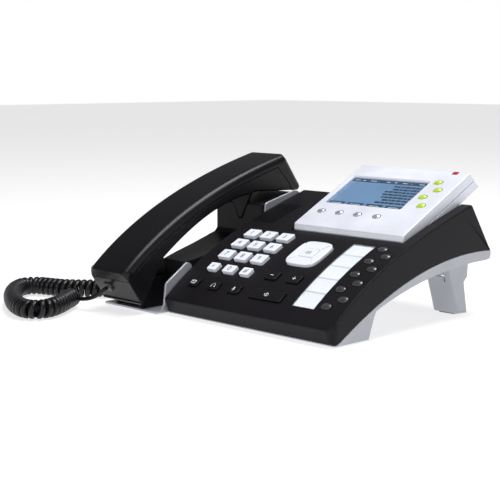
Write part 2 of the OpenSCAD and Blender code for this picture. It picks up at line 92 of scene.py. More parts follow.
# ---- curves
def bez(c, t):
    t = np.asarray(t, float)[..., None]
    return (1 - t) ** 3 * c[0] + 3 * t * (1 - t) ** 2 * c[1] + 3 * t * t * (1 - t) * c[2] + t ** 3 * c[3]


def bez_dir(c, t):
    t = np.asarray(t, float)[..., None]
    d = (1 - t) ** 2 * (c[1] - c[0]) + 2 * t * (1 - t) * (c[2] - c[1]) + t * t * (c[3] - c[2])
    return d / np.linalg.norm(d, axis=-1, keepdims=True)


def curve(c, offset=0.0, n=90, t0=0.0, t1=1.0):
    """Points of a cubic curve, moved to its left by offset."""
    t = np.linspace(t0, t1, n + 1)
    d = bez_dir(c, t)
    return bez(c, t) + offset * np.column_stack([-d[:, 1], d[:, 0]])


def curve_t(c, y):
    """Where along a curve its first coordinate is y."""
    t = np.linspace(0, 1, 2001)
    return float(np.interp(y, bez(c, t)[:, 0], t))


def lengths(line):
    """How far along a line each of its points is."""
    return np.concatenate([[0], np.cumsum(np.linalg.norm(np.diff(line, axis=0), axis=1))])


def arch_z(y):
    return float(bez(ARCH, curve_t(ARCH, y))[1])


def arch_slope(y):
    d = bez_dir(ARCH, curve_t(ARCH, y))
    return math.atan2(d[1], d[0])


def catmull(points, n):
    """A smooth curve through given points, with n steps between each two."""
    p = np.array(points, float)
    p = np.vstack([p[:1], p, p[-1:]])
    out = []
    for a, b, c, d in zip(p[:-3], p[1:-2], p[2:-1], p[3:]):
        for t in np.arange(n) / n:
            out.append(0.5 * (2 * b + t * (c - a) + t * t * (2 * a - 5 * b + 4 * c - d)
                              + t ** 3 * (3 * b - a - 3 * c + d)))
    return np.array(out + [p[-1]])


def soften(outline, d, least=12):
    """Rounds each corner of a closed outline that turns more than least degrees, over a distance d."""
    p = np.array(outline, float)
    out = []
    for i, here in enumerate(p):
        before, after = p[i - 1] - here, p[(i + 1) % len(p)] - here
        la, lb = np.linalg.norm(before), np.linalg.norm(after)
        turn = math.degrees(math.acos(np.clip(-(before @ after) / (la * lb), -1, 1)))
        if turn < least:
            out.append(here)
            continue
        a, b = here + before / la * min(d, 0.45 * la), here + after / lb * min(d, 0.45 * lb)
        for t in np.linspace(0, 1, 6):
            out.append((1 - t) ** 2 * a + 2 * t * (1 - t) * here + t * t * b)
    return np.array(out)


# ---- materials
def node(tree, kind, **values):
    made = tree.nodes.new("ShaderNode" + kind)
    for name, value in values.items():
        made.inputs[name.replace("_", " ")].default_value = value
    return made


def finish_of(name, color, rough, grain=2600.0, bump=0.08, spread=0.06, tint=0.08, metal=0.0, coat=0.0,
              spec=0.5, broad=28.0, **extra):
    """A moulded or painted surface: fine grain as bump, broad clouds in colour and roughness."""
    material = bpy.data.materials.new(name)
    material.use_nodes = True
    tree = material.node_tree
    shader = tree.nodes["Principled BSDF"]
    shader.inputs["Metallic"].default_value = metal
    shader.inputs["Coat Weight"].default_value = coat
    shader.inputs["Coat Roughness"].default_value = 0.08
    shader.inputs["Specular IOR Level"].default_value = spec
    for key, value in extra.items():
        shader.inputs[key.replace("_", " ")].default_value = value
    place = tree.nodes.new("ShaderNodeTexCoord").outputs["Object"]
    clouds = node(tree, "TexNoise", Scale=broad, Detail=4.0)
    fine = node(tree, "TexNoise", Scale=grain, Detail=2.0)
    tree.links.new(place, clouds.inputs["Vector"])
    tree.links.new(place, fine.inputs["Vector"])
    ramp = tree.nodes.new("ShaderNodeValToRGB")
    ramp.color_ramp.elements[0].position, ramp.color_ramp.elements[1].position = 0.3, 0.7
    for element, gain in zip(ramp.color_ramp.elements, (1 - tint, 1 + tint)):
        element.color = [min(1, c * gain) for c in color] + [1]
    tree.links.new(clouds.outputs["Fac"], ramp.inputs["Fac"])
    tree.links.new(ramp.outputs["Color"], shader.inputs["Base Color"])
    both = tree.nodes.new("ShaderNodeMath")
    both.operation = "ADD"
    tree.links.new(clouds.outputs["Fac"], both.inputs[0])
    tree.links.new(fine.outputs["Fac"], both.inputs[1])
    rough_map = node(tree, "MapRange", From_Min=0.6, From_Max=1.4, To_Min=rough - spread,
                     To_Max=rough + spread)
    tree.links.new(both.outputs[0], rough_map.inputs["Value"])
    tree.links.new(rough_map.outputs["Result"], shader.inputs["Roughness"])
    relief = node(tree, "Bump", Strength=bump, Distance=0.0001)
    tree.links.new(fine.outputs["Fac"], relief.inputs["Height"])
    tree.links.new(relief.outputs["Normal"], shader.inputs["Normal"])
    return material


def banded(material, axis, low, high, stops):
    """Multiplies a finish's colour by a ramp of grey stops that runs along one axis, in millimetres."""
    tree = material.node_tree
    shader = tree.nodes["Principled BSDF"]
    old = shader.inputs["Base Color"].links[0].from_socket
    split = tree.nodes.new("ShaderNodeSeparateXYZ")
    tree.links.new(tree.nodes["Texture Coordinate"].outputs["Object"], split.inputs["Vector"])
    along = node(tree, "MapRange", From_Min=low * MM, From_Max=high * MM)
    tree.links.new(split.outputs[axis], along.inputs["Value"])
    ramp = tree.nodes.new("ShaderNodeValToRGB")
    ramp.color_ramp.elements.remove(ramp.color_ramp.elements[1])
    ramp.color_ramp.elements[0].position = stops[0][0]
    ramp.color_ramp.elements[0].color = (*stops[0][1], 1)
    for position, color in stops[1:]:
        ramp.color_ramp.elements.new(position).color = (*color, 1)
    tree.links.new(along.outputs["Result"], ramp.inputs["Fac"])
    mix = tree.nodes.new("ShaderNodeMix")
    mix.data_type, mix.blend_type = "RGBA", "MULTIPLY"
    mix.inputs[0].default_value = 1
    tree.links.new(old, mix.inputs[6])
    tree.links.new(ramp.outputs["Color"], mix.inputs[7])
    tree.links.new(mix.outputs[2], shader.inputs["Base Color"])
    return material


def grey(v):
    return (v, v, v)


FINISH = {
    "silver_casing": finish_of("silver_casing", (0.42, 0.43, 0.47), 0.38, metal=0.25, bump=0.05),
    "silver_tray": finish_of("silver_tray", (0.47, 0.49, 0.53), 0.32, metal=0.45, bump=0.06, grain=3200),
    "black_cover": finish_of("black_cover", (0.0085, 0.0075, 0.0095), 0.44, bump=0.16, spec=0.11,
                             tint=0.15, coat=0.06),
    "black_handset": finish_of("black_handset", (0.0050, 0.0046, 0.0060), 0.31, bump=0.05, spec=0.26,
                               tint=0.12, spread=0.04),
    "white_key": finish_of("white_key", (0.80, 0.83, 0.90), 0.34, bump=0.03, tint=0.02),
    "black_key": finish_of("black_key", (0.007, 0.007, 0.008), 0.34, bump=0.06, spec=0.25),
    "speed_key": finish_of("speed_key", (0.040, 0.040, 0.043), 0.22, bump=0.02, coat=0.5),
    "silver_key": finish_of("silver_key", (0.60, 0.61, 0.66), 0.22, metal=0.62, bump=0.03),
    "lime_key": finish_of("lime_key", (0.50, 0.66, 0.045), 0.25, bump=0.03, coat=0.3, tint=0.10),
    "display_white": finish_of("display_white", (0.78, 0.80, 0.88), 0.33, bump=0.04, metal=0.12),
    "lcd_glass": finish_of("lcd_glass", (0.145, 0.255, 0.42), 0.22, bump=0.0, tint=0.10, coat=0.25,
                           broad=22),
    "red_lens": finish_of("red_lens", (0.42, 0.012, 0.02), 0.18, bump=0.02, coat=0.5),
    "label_card": finish_of("label_card", (0.84, 0.88, 0.96), 0.5, bump=0.03, tint=0.02),
    "label_window": finish_of("label_window", (0.9, 0.93, 0.98), 0.12, bump=0.0, Alpha=0.12),
    "rubber": finish_of("rubber", (0.018, 0.018, 0.018), 0.75, bump=0.2),
    "screw_steel": finish_of("screw_steel", (0.55, 0.55, 0.57), 0.3, metal=1.0),
    "circuit_board": finish_of("circuit_board", (0.02, 0.13, 0.06), 0.4, tint=0.4, broad=160),
    "speaker_black": finish_of("speaker_black", (0.02, 0.02, 0.022), 0.6, bump=0.2),
    "socket_black": finish_of("socket_black", (0.016, 0.016, 0.018), 0.4),
    "cord_black": finish_of("cord_black", (0.006, 0.006, 0.008), 0.33, bump=0.06, spec=0.32),
    "plug_clear": finish_of("plug_clear", (0.06, 0.058, 0.052), 0.25, bump=0.0),
}
INK = {
    "print_grey": finish_of("print_grey", (0.10, 0.11, 0.14), 0.55),
    "print_white": finish_of("print_white", (0.75, 0.75, 0.75), 0.5),
    "lcd_ink": finish_of("lcd_ink", (0.020, 0.045, 0.085), 0.35, tint=0.2),
    "lcd_lit": finish_of("lcd_lit", (0.40, 0.55, 0.72), 0.35),
}


# ---- meshes
def outward(bm):
    """bm, closed, with its faces turned outward, which the sign of its volume confirms."""
    bmesh.ops.recalc_face_normals(bm, faces=bm.faces)
    if bm.calc_volume(signed=True) < 0:
        bmesh.ops.reverse_faces(bm, faces=bm.faces)
    return bm


def loft(rings):
    """A closed bmesh through rings of points, each with the same number of points, in millimetres."""
    bm = bmesh.new()
    rows = [[bm.verts.new(Vector(p) * MM) for p in ring] for ring in rings]
    n = len(rows[0])
    for a, b in zip(rows[:-1], rows[1:]):
        for k in range(n):
            bm.faces.new((a[k], a[(k + 1) % n], b[(k + 1) % n], b[k]))
    bm.faces.new(rows[0][::-1])
    bm.faces.new(rows[-1])
    return outward(bm)


def joined(meshes):
    """One bmesh from several."""
    out = bmesh.new()
    for bm in meshes:
        data = bpy.data.meshes.new("part")
        bm.to_mesh(data)
        bm.free()
        out.from_mesh(data)
        bpy.data.meshes.remove(data)
    return out


def inward(p):
    """Unit inward directions of a closed outline, lengthened at its corners so that walls stay parallel."""
    area = np.sum(p[:, 0] * np.roll(p[:, 1], -1) - np.roll(p[:, 0], -1) * p[:, 1])
    edge = np.roll(p, -1, axis=0) - p
    edge /= np.maximum(np.linalg.norm(edge, axis=1, keepdims=True), 1e-9)
    side = np.sign(area) * np.column_stack([-edge[:, 1], edge[:, 0]])
    total = side + np.roll(side, 1, axis=0)
    dots = np.sum(side * np.roll(side, 1, axis=0), axis=1)
    return total / np.maximum(1 + dots, 0.6)[:, None]


def side_loft(outline, x0, x1, r=1.0, steps=4, inner=(), clip=None):
    """A side outline drawn out from x0 to x1, its edges rounded by r (one number, or one for each point).
    clip gives the lowest y that is allowed at each x."""
    p = np.array(outline, float)
    r = np.broadcast_to(np.asarray(r, float), len(p))
    n = inward(p)

    def ring(x, off):
        q = p + n * off[:, None]
        if clip is not None:
            q[:, 0] = np.maximum(q[:, 0], clip(x))
        return np.column_stack([x, q])

    turn = np.linspace(math.pi / 2, 0, steps + 1)
    rings = [ring(x0 + r * (1 - math.sin(a)), r * (1 - math.cos(a))) for a in turn]
    rings += [ring(np.full(len(p), float(x)), np.zeros(len(p))) for x in inner]
    rings += [ring(x1 - r * (1 - math.sin(a)), r * (1 - math.cos(a))) for a in turn[::-1]]
    return loft(rings)


def slab(x0, x1, y0, y1, z0, z1):
    """A plain block."""
    return loft([[(x0, y0, z), (x1, y0, z), (x1, y1, z), (x0, y1, z)] for z in (z0, z1)])


def rounded(w, l, r, n=5):
    """A rectangle w by l with round corners, about the origin."""
    r = min(r, w / 2 - 0.01, l / 2 - 0.01)
    out = []
    for cx, cy, a0 in ((1, 1, 0), (-1, 1, 90), (-1, -1, 180), (1, -1, 270)):
        for a in np.radians(np.linspace(a0, a0 + 90, n + 1)):
            out.append((cx * (w / 2 - r) + r * math.cos(a), cy * (l / 2 - r) + r * math.sin(a)))
    return out


def bulged(size, n=3.9, count=96):
    """A square whose sides bulge out and whose corners are round."""
    out = []
    for a in np.linspace(0, 2 * math.pi, count, endpoint=False):
        out.append(tuple(size / 2 * math.copysign(abs(k) ** (2 / n), k) for k in (math.cos(a), math.sin(a))))
    return out


def cap(shape, z0, z1, r=0.5, dome=0.0, steps=4):
    """A key: shape(grow) gives its outline. Its top edge is rounded by r and its top crowned by dome."""
    rings = [[(*p, z0) for p in shape(0)]]
    for a in np.linspace(0, math.pi / 2, steps + 1):
        grow, z = -r * (1 - math.cos(a)), z1 - dome - r + r * math.sin(a)
        rings.append([(*p, z) for p in shape(grow)])
    top = np.array(shape(-r))
    for f in (0.92, 0.8, 0.6, 0.35, 0.1) if dome else (0.5,):
        rings.append([(*q, z1 - dome * f * f) for q in top * f])
    return loft(rings)


def hole(shape, low, flare=0.45):
    """A cutter for the opening around a key, with a bevelled rim at height 0."""
    return loft([[(*p, z) for p in shape(KEY_GAP + g)]
                 for g, z in ((0, low), (0, -flare), (flare, 0.05), (flare, 12))])


def moved(bm, matrix):
    bm.transform(matrix)
    return bm


def on_arch(x, y):
    return Matrix.Translation(Vector((x, y, arch_z(y))) * MM) @ Matrix.Rotation(arch_slope(y), 4, "X")


def on_display(u=0.0, v=0.0):
    base = Matrix.Translation(Vector((DISP_X, *DISP_FRONT)) * MM)
    tilt = Matrix.Rotation(math.radians(DISP_TILT), 4, "X")
    return base @ tilt @ Matrix.Translation(Vector((u, v, 0)) * MM)


def as_object(bm, name="cutter"):
    data = bpy.data.meshes.new(name)
    bm.to_mesh(data)
    bm.free()
    made = bpy.data.objects.new(name, data)
    bpy.context.collection.objects.link(made)
    return made


def combine(bm, cutter, operation="DIFFERENCE"):
    """bm after an exact boolean with cutter, whose own parts stay clear of each other. Both are used up."""
    body, tool = as_object(bm, "body"), as_object(cutter)
    step = body.modifiers.new("cut", "BOOLEAN")
    step.object, step.operation, step.solver = tool, operation, "EXACT"
    bpy.context.view_layer.update()
    result = bpy.data.meshes.new_from_object(body.evaluated_get(bpy.context.evaluated_depsgraph_get()))
    out = bmesh.new()
    out.from_mesh(result)
    bpy.data.meshes.remove(result)
    for used in (body, tool):
        data = used.data
        bpy.data.objects.remove(used)
        bpy.data.meshes.remove(data)
    return out


def baked(made):
    """Turns an object's modifiers into its mesh."""
    bpy.context.view_layer.update()
    shaped = bpy.data.meshes.new_from_object(made.evaluated_get(bpy.context.evaluated_depsgraph_get()))
    made.modifiers.clear()
    old, made.data = made.data, shaped
    bpy.data.meshes.remove(old)


def piece(name, bm, slot, nodes, body=None, inks=(), angle=35, bevel=0.0, rides=True):
    """Makes a visible piece: it stands for CAD nodes, rides on their body and takes their slot's finish."""
    made = as_object(bm, name)
    if bevel:
        step = made.modifiers.new("edges", "BEVEL")
        step.width, step.segments = bevel * MM, 2
        step.limit_method, step.angle_limit = "ANGLE", math.radians(40)
        baked(made)
    for material in (FINISH[slot], *(INK[ink] for ink in inks)):
        made.data.materials.append(material)
    made.data.shade_smooth()
    made.data.set_sharp_from_angle(angle=math.radians(angle))
    made.modifiers.new("flat_faces", "WEIGHTED_NORMAL").keep_sharp = True
    baked(made)
    if nodes:
        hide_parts(*nodes)
    if rides:
        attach(made, body or BODY_OF[nodes[0]])
    return made


def from_cad(name, slot, bevel):
    """The same shape as a CAD node, with its edges broken."""
    bm = bmesh.new()
    bm.from_mesh(frame["nodes"][name].data)
    bmesh.ops.remove_doubles(bm, verts=bm.verts, dist=1e-6)
    bmesh.ops.dissolve_limit(bm, angle_limit=math.radians(1), verts=bm.verts, edges=bm.edges)
    return piece(name + "_piece", bm, slot, [name], bevel=bevel)


# ---- the curly cord: a lead from the handset's plug, a helix on the table, and its end in the cradle
LEAD = [[-95, -100.7, 18.9], [-95.1, -103.5, 17.6], [-97.5, -107, 14.2], [-103, -109.5, 11],
        [-111, -110.5, 9], [-119, -110.5, 8.1], [-127, -110.5, 8]]
COIL = [[-130, -108, 8], [-121, -121, 8], [-111, -135, 8], [-104, -149, 8],
        [-105, -160, 8], [-115, -164.2, 8], [-132, -160, 8], [-152, -150, 8],
        [-174, -136, 8], [-191.2, -121, 8], [-199.2, -108, 8], [-194.5, -98, 8],
        [-184, -94, 8], [-170, -89, 8], [-158, -80, 8], [-149, -70, 8],
        [-142, -56, 8], [-137, -41, 8], [-136, -22, 8], [-136, 2, 8], [-136, 24, 8],
        [-136, 36, 8.2], [-135.5, 47, 12], [-133, 57, 21], [-129.5, 63.5, 33],
        [-125.5, 66.5, 45], [-121, 67.5, 55], [-113, 70, 62]]
COIL_D, LEAD_D, WIRE_W, WIRE_T = 15.2, 3.2, 4.6, 4.0
COIL_PITCH, TURN_STEPS, RAMP = 5.0, 18, 9.0


def cord_path():
    """The cord's centreline, and at each of its points the radial direction and how far it is coiled,
    from 0 to 1."""
    lead, coil = catmull(LEAD, 12), catmull(COIL, 24)
    route = np.vstack([lead, coil])
    s = lengths(route)
    coil_from, coil_to = s[len(lead)], s[-1]
    at = np.arange(0, s[-1], COIL_PITCH / TURN_STEPS)
    centre = np.column_stack([np.interp(at, s, route[:, i]) for i in range(3)])
    blur = np.hanning(19) / np.hanning(19).sum()
    padded = np.vstack([np.repeat(centre[:1], 9, 0), centre, np.repeat(centre[-1:], 9, 0)])
    centre = np.column_stack([np.convolve(padded[:, i], blur, "valid") for i in range(3)])
    along = np.gradient(centre, axis=0)
    along /= np.linalg.norm(along, axis=1, keepdims=True)
    side = np.cross(along, (0, 0, 1))
    side /= np.linalg.norm(side, axis=1, keepdims=True)
    up = np.cross(side, along)
    turn = 2 * math.pi * (at - coil_from) / COIL_PITCH
    radial = np.cos(turn)[:, None] * side + np.sin(turn)[:, None] * up
    grown = np.clip(np.minimum(at - coil_from + RAMP / 2, coil_to - at) / RAMP, 0, 1)
    grown = grown * grown * (3 - 2 * grown)
    return centre + ((COIL_D - WIRE_T) / 2 * grown)[:, None] * radial, radial, grown


def cord_tube(path, radial, grown, first, last, sides=10):
    """A tube along part of the path: round where the cord is straight, flat where it is coiled."""
    p = path[first:last]
    ahead = np.gradient(path, axis=0)[first:last]
    ahead /= np.linalg.norm(ahead, axis=1, keepdims=True)
    out = radial[first:last]
    out = out - ahead * np.sum(out * ahead, axis=1, keepdims=True)
    out /= np.linalg.norm(out, axis=1, keepdims=True)
    across = np.cross(ahead, out)
    g = grown[first:last, None]
    w, t = LEAD_D + (WIRE_W - LEAD_D) * g, LEAD_D + (WIRE_T - LEAD_D) * g
    a = np.linspace(0, 2 * math.pi, sides, endpoint=False)
    return loft([[c + wi / 2 * math.cos(k) * ac + ti / 2 * math.sin(k) * o for k in a]
                 for c, wi, ti, ac, o in zip(p, w, t, across, out)])


path, radial, grown = cord_path()
SPLIT = int(np.argmax(path[:, 1] < -149))
lead_piece = piece("cord_lead_piece", cord_tube(path, radial, grown, 0, SPLIT + 1), "cord_black",
                   ["cord_lead"], rides=False)
coil_piece = piece("cord_coil_piece", cord_tube(path, radial, grown, SPLIT, len(path)), "cord_black",
                   ["cord_coil"])
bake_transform(lead_piece)


# ---- the console
def front_corner(x):
    """Lowest y of the console's plan at x: its front right corner is round."""
    d = np.clip(np.asarray(x, float) - (BODY_RIGHT - CORNER_ROUND), 0, CORNER_ROUND)
    return CORNER_FRONT - np.sqrt(CORNER_ROUND ** 2 - d * d)


def corner_stations():
    return [BODY_RIGHT - CORNER_ROUND + CORNER_ROUND * math.sin(a) for a in np.linspace(0, 1.15, 9)]


def key_rect(w, l, r=1.0):
    return lambda grow: rounded(w + 2 * grow, l + 2 * grow, r + grow)


def key_pill(w, l):
    return lambda grow: rounded(w + 2 * grow, l + 2 * grow, l / 2 + grow, n=8)


NAV_C, NAV_SIZE, MENU = (44.9, -17.9), 31, (14, 10)
LABEL_Y = (-64.5, 1.7)
DIAL = ["key_1", "key_2", "key_3", "key_4", "key_5", "key_6", "key_7", "key_8", "key_9",
        "key_star", "key_0", "key_hash"]
FUNC = {"message_key": (-36, 10.7), "headset_key": (-13.5, 11), "mute_key": (8.8, 12.4)}
keys = {}
for i, name in enumerate(DIAL):
    row, col = divmod(i, 3)
    w, l = (13, 10) if row < 3 else ((11.6, 8) if col == 1 else (9.8, 8))
    keys[name] = (on_arch(-29.8 + 18 * col, -3.6 - 14 * row), key_rect(w, l), 2.5, "white_key")
for name, (x, w) in FUNC.items():
    keys[name] = (on_arch(x, -61), key_rect(w, 7.6, 0.8), 1.5, "black_key")
keys["speaker_key"] = (on_arch(43.2, -61), key_rect(33, 9, 0.8), 1.5, "black_key")
keys["volume_down_key"] = (on_arch(32.6, -44.5), key_rect(12, 8.4, 0.8), 1.5, "black_key")
keys["volume_up_key"] = (on_arch(55.2, -44.5), key_rect(12, 8.4, 0.8), 1.5, "black_key")
for i in range(9):
    x, y = (101.6, -61.1 + 15 * i) if i < 5 else (110.8, -53.9 + 15 * (i - 5))
    keys[f"speed_key_{i + 1}"] = (on_arch(x, y), key_pill(8.5, 5.6), 1.5, "speed_key")


def top_cover():
    arc = [[79.4 + 4 * math.cos(a), 83.1 + 4 * math.sin(a)] for a in np.radians(np.linspace(80, 34, 7))]
    front = [[-72.5, 1.6], [-76.8, 12.4]]
    outline = soften(np.vstack([front, curve(ARCH), arc, curve(SEAM, n=60)[::-1]]), 1.2)
    cover = side_loft(outline, BODY_LEFT, BODY_RIGHT, r=1.1, inner=corner_stations(), clip=front_corner)
    y0, low, slope = 10.4, 51.2, math.tan(math.radians(18.3))

    def recess(grow):
        """A cutter for the display's recess, larger on every side by grow."""
        near, floor = y0 - grow, low - grow
        far = floor + slope * (BEHIND - near)
        return loft([[(x, near, ABOVE), (x, near, floor), (x, BEHIND, far), (x, BEHIND, ABOVE)]
                     for x in (DISP_X - 1 - grow, DISP_X + DISP_W + 1 + grow)])

    void = np.vstack([[[-69.8, -5], [-74, 12.6]], [p for p in curve(ARCH, -WALL) if p[0] > -73],
                      [[80.9, 83.2], [103.6, 49.6], [103.6, -5]]])
    void = loft([[(x, *p) for p in void] for x in (BODY_LEFT + WALL, BODY_RIGHT - WALL)])
    void = combine(void, recess(WALL))
    cover = combine(cover, void)
    cutters = [moved(hole(shape, -9), place) for place, shape, _, _ in keys.values()]
    cutters.append(moved(hole(lambda g: bulged(NAV_SIZE + 2 * g), -9, 0.6), on_arch(*NAV_C)))
    cutters += [slab(-50.6 + 3 * i, -49.4 + 3 * i, 16, 50, 60, 95) for i in range(8)]
    cutters.append(loft([[(78.4 + 0.6 * math.cos(a), y, 5.2 + 0.6 * math.sin(a))
                          for a in np.linspace(0, 2 * math.pi, 12, endpoint=False)] for y in (-80, -66)]))
    strip = np.linspace(*LABEL_Y, 40)
    cutters.append(loft([[(x, y, arch_z(y) - 1.2) for y in strip] + [(x, y, 95) for y in LABEL_Y[::-1]]
                         for x in (71.7, 92.7)]))
    cover = combine(cover, joined(cutters))
    sockets = [slab(30, 60.6, 83, BEHIND, 40, 66.8), slab(78, 87.6, 83, BEHIND, 40, 65.2)]
    cover = combine(cover, joined(sockets))
    cover = combine(cover, recess(0))
    piece("top_cover_piece", cover, "black_cover", ["top_cover"], angle=30)


def taper(bm):
    """bm cut along the cradle's slanting front left edge."""
    cut = bmesh.ops.bisect_plane(bm, geom=[*bm.verts, *bm.edges, *bm.faces], clear_outer=True,
                                 plane_co=Vector((-80.3, -60, 0)) * MM, plane_no=(-129.2, -49.7, 0))
    bmesh.ops.holes_fill(bm, edges=[e for e in cut["geom_cut"] if isinstance(e, bmesh.types.BMEdge)])
    return outward(bm)


def base_shell():
    """Two side walls, a channel between them that is the casing's skin, and the wing under the cradle."""
    floor = FOOT_LIFT + WALL
    front = [[-72.2, FOOT_LIFT], [-72.5, 1.6]]
    rear = [[107.2, 46.5], [106, 43.6]]
    foot = [[-31, 16.6], [-37, FOOT_LIFT]]
    outline = np.vstack([front, curve(SEAM, n=60), rear, curve(BELLY, n=60)[::-1], foot])
    inside = np.vstack([[[-66.7, floor], [-39.4, floor], [-33.3, 18]], curve(BELLY, WALL, 40),
                        [[103.6, 46], [103.6, 50.1]]])
    skin = np.vstack([front, SEAM[:1], inside, SEAM[-1:], rear, curve(BELLY, n=60)[::-1], foot])
    round_edge = 0.5
    left = side_loft(outline, BODY_LEFT, BODY_LEFT + WALL, r=round_edge, steps=2)
    right = side_loft(outline, BODY_RIGHT - WALL, BODY_RIGHT, r=round_edge, steps=2,
                      inner=[x for x in corner_stations() if x > BODY_RIGHT - WALL + round_edge],
                      clip=lambda x: front_corner(x) + 0.2)
    channel = loft([[(x, *p) for p in skin]
                    for x in (BODY_LEFT + WALL - round_edge, BODY_RIGHT - WALL + round_edge)])
    wing = np.vstack([[p for p in curve(SEAM, n=120) if p[0] > -53], rear, curve(BELLY, n=120)[::-1],
                      foot, [[-53, FOOT_LIFT]]])
    wing = taper(side_loft(wing, CRADLE_LEFT, BODY_LEFT + round_edge, r=0.4, steps=2))
    piece("base_shell_piece", joined([left, channel, right, wing]), "silver_casing", ["base_shell"], angle=30)


def cradle_deck():
    top = [[-53, 38.3], [-33, 41.3], [-6, 44.5], [22, 48.5], [30, 50.8], [33, 54], [33, 77.5], [82, 84.4],
           [84.6, 83]]
    low = np.array([p for p in curve(SEAM, n=120)[::-1] if p[0] > -52])
    outline = soften(np.vstack([top, low + (0, 0.1)]), 1.5, least=20)
    deck = taper(side_loft(outline, CRADLE_LEFT, FIN_X - 0.3, r=0.9))
    tongue = [(-83.2 - 14, 87.4), (-83.2 + 14, 87.4), (-83.2 + 2.3, 63.9), (-83.2 - 2.3, 63.9)]
    deck = combine(deck, joined([loft([[(x, y, z) for x, z in tongue] for y in (30, 38)]),
                                 slab(-118, -109, 66, 74, 58, 66)]))
    cup = [side_loft([[-53, low], [-53, 38.3], [-50.6, 38.3], [-50.6, low]], x0, x1, r=0.5)
           for low, x0, x1 in ((3.1, CRADLE_LEFT, -84.2), (16, -84.3, -80))]
    ribs = [side_loft(soften([[-86.4, 3.1], [-86.2, 11], [-76, 27], [-73, 27], [-50.8, 27], [-50.8, 17],
                              [-54, 15], [-60, 3.1]], 0.8), x, x + 2, r=0.4) for x in (-102, -74)]
    piece("cradle_deck_piece", joined([deck, *cup, *ribs]), "black_cover", ["cradle_deck"])


def cradle_tray():
    fin = [[-81.3, 0.8], [-75.9, 6.3], [-73.8, 23.8], [-57.9, 34.2], [-51.8, 38.5], [-47.6, 36.8],
           [-46, 32.7], [20, 45], [34, 52], [35.2, 78], [37.6, 79.2], [70.5, 87.5], [75.1, 86.2], [77, 84],
           [79, 80]]
    under = [p for p in curve(SEAM, 0.3, 60)[::-1] if p[0] < 78]
    outline = soften(np.vstack([fin, under, [[-67.5, FOOT_LIFT]]]), 2.2, least=15)
    fins = side_loft(outline, FIN_X, FIN_X + FIN_T, r=0.6)
    plate = soften([[-84, 0.8], [-84, 2.8], [-53.3, 2.8], [-53.3, 0.8]], 0.7)
    plate = side_loft(plate, -120, FIN_X + FIN_T - 0.2, r=0.6)
    piece("cradle_tray_piece", joined([fins, plate]), "silver_tray", ["cradle_tray"])


def label_strip(name, slot, low, high):
    """A strip that follows the cover's arch, between two heights over it."""
    y = np.linspace(-64.2, 1.4, 60)
    ring = [[(x, yy, arch_z(yy) + low) for yy in y] + [(x, yy, arch_z(yy) + high) for yy in y[::-1]]
            for x in (71.9, 72.1, 92.3, 92.5)]
    return piece(name + "_piece", loft(ring), slot, [name])


def keys_on_console():
    marks = {"key_star": "*", "key_hash": "#"}
    for name, (place, shape, proud, slot) in keys.items():
        if slot == "speed_key":
            piece(name + "_piece", moved(cap(shape, -4.2, proud, r=0.6, dome=0.75), place), slot, [name])
            continue
        body = cap(shape, -4.2, proud, r=0.35, dome=0.12)
        parts, inks = [body], ()
        if slot == "white_key":
            parts.append(glyph(marks.get(name, name[-1]), 6.6, proud))
            inks = ("print_grey",)
        elif name in ICONS:
            parts.append(icon(ICONS[name], proud))
            inks = ("print_white",)
        for part in parts[1:]:
            for face in part.faces:
                face.material_index = 1
        piece(name + "_piece", moved(joined(parts), place), slot, [name], inks=inks)


def glyph(text, size, z):
    """A printed figure, centred on a key's top at height z."""
    data = bpy.data.curves.new("glyph", "FONT")
    data.body, data.size, data.extrude = text, size * MM, 0.06 * MM
    data.align_x, data.align_y = "CENTER", "CENTER"
    data.resolution_u = 3
    made = bpy.data.objects.new("glyph", data)
    bpy.context.collection.objects.link(made)
    bpy.context.view_layer.update()
    mesh = bpy.data.meshes.new_from_object(made.evaluated_get(bpy.context.evaluated_depsgraph_get()))
    out = bmesh.new()
    out.from_mesh(mesh)
    bpy.data.objects.remove(made)
    bpy.data.curves.remove(data)
    bpy.data.meshes.remove(mesh)
    bmesh.ops.remove_doubles(out, verts=out.verts, dist=1e-7)
    xs, ys = [v.co.x for v in out.verts], [v.co.y for v in out.verts]
    shift = Vector((-(min(xs) + max(xs)) / 2, -(min(ys) + max(ys)) / 2, (z - 0.02) * MM))
    return moved(out, Matrix.Translation(shift))


def stroke(points, w, z, closed=False):
    """Flat bars along a line of points."""
    out = []
    ends = list(zip(points, points[1:] + points[:1])) if closed else list(zip(points[:-1], points[1:]))
    for (ax, ay), (bx, by) in ends:
        d = Vector((bx - ax, by - ay)).normalized() * w / 2
        n = Vector((-d.y, d.x))
        a, b = Vector((ax, ay)) - d, Vector((bx, by)) + d
        out.append(loft([[(*p, h) for p in (a + n, a - n, b - n, b + n)] for h in (z - 0.15, z + 0.04)]))
    return out


def arc_points(cx, cy, r, a0, a1, n=10):
    return [(cx + r * math.cos(a), cy + r * math.sin(a)) for a in np.radians(np.linspace(a0, a1, n + 1))]


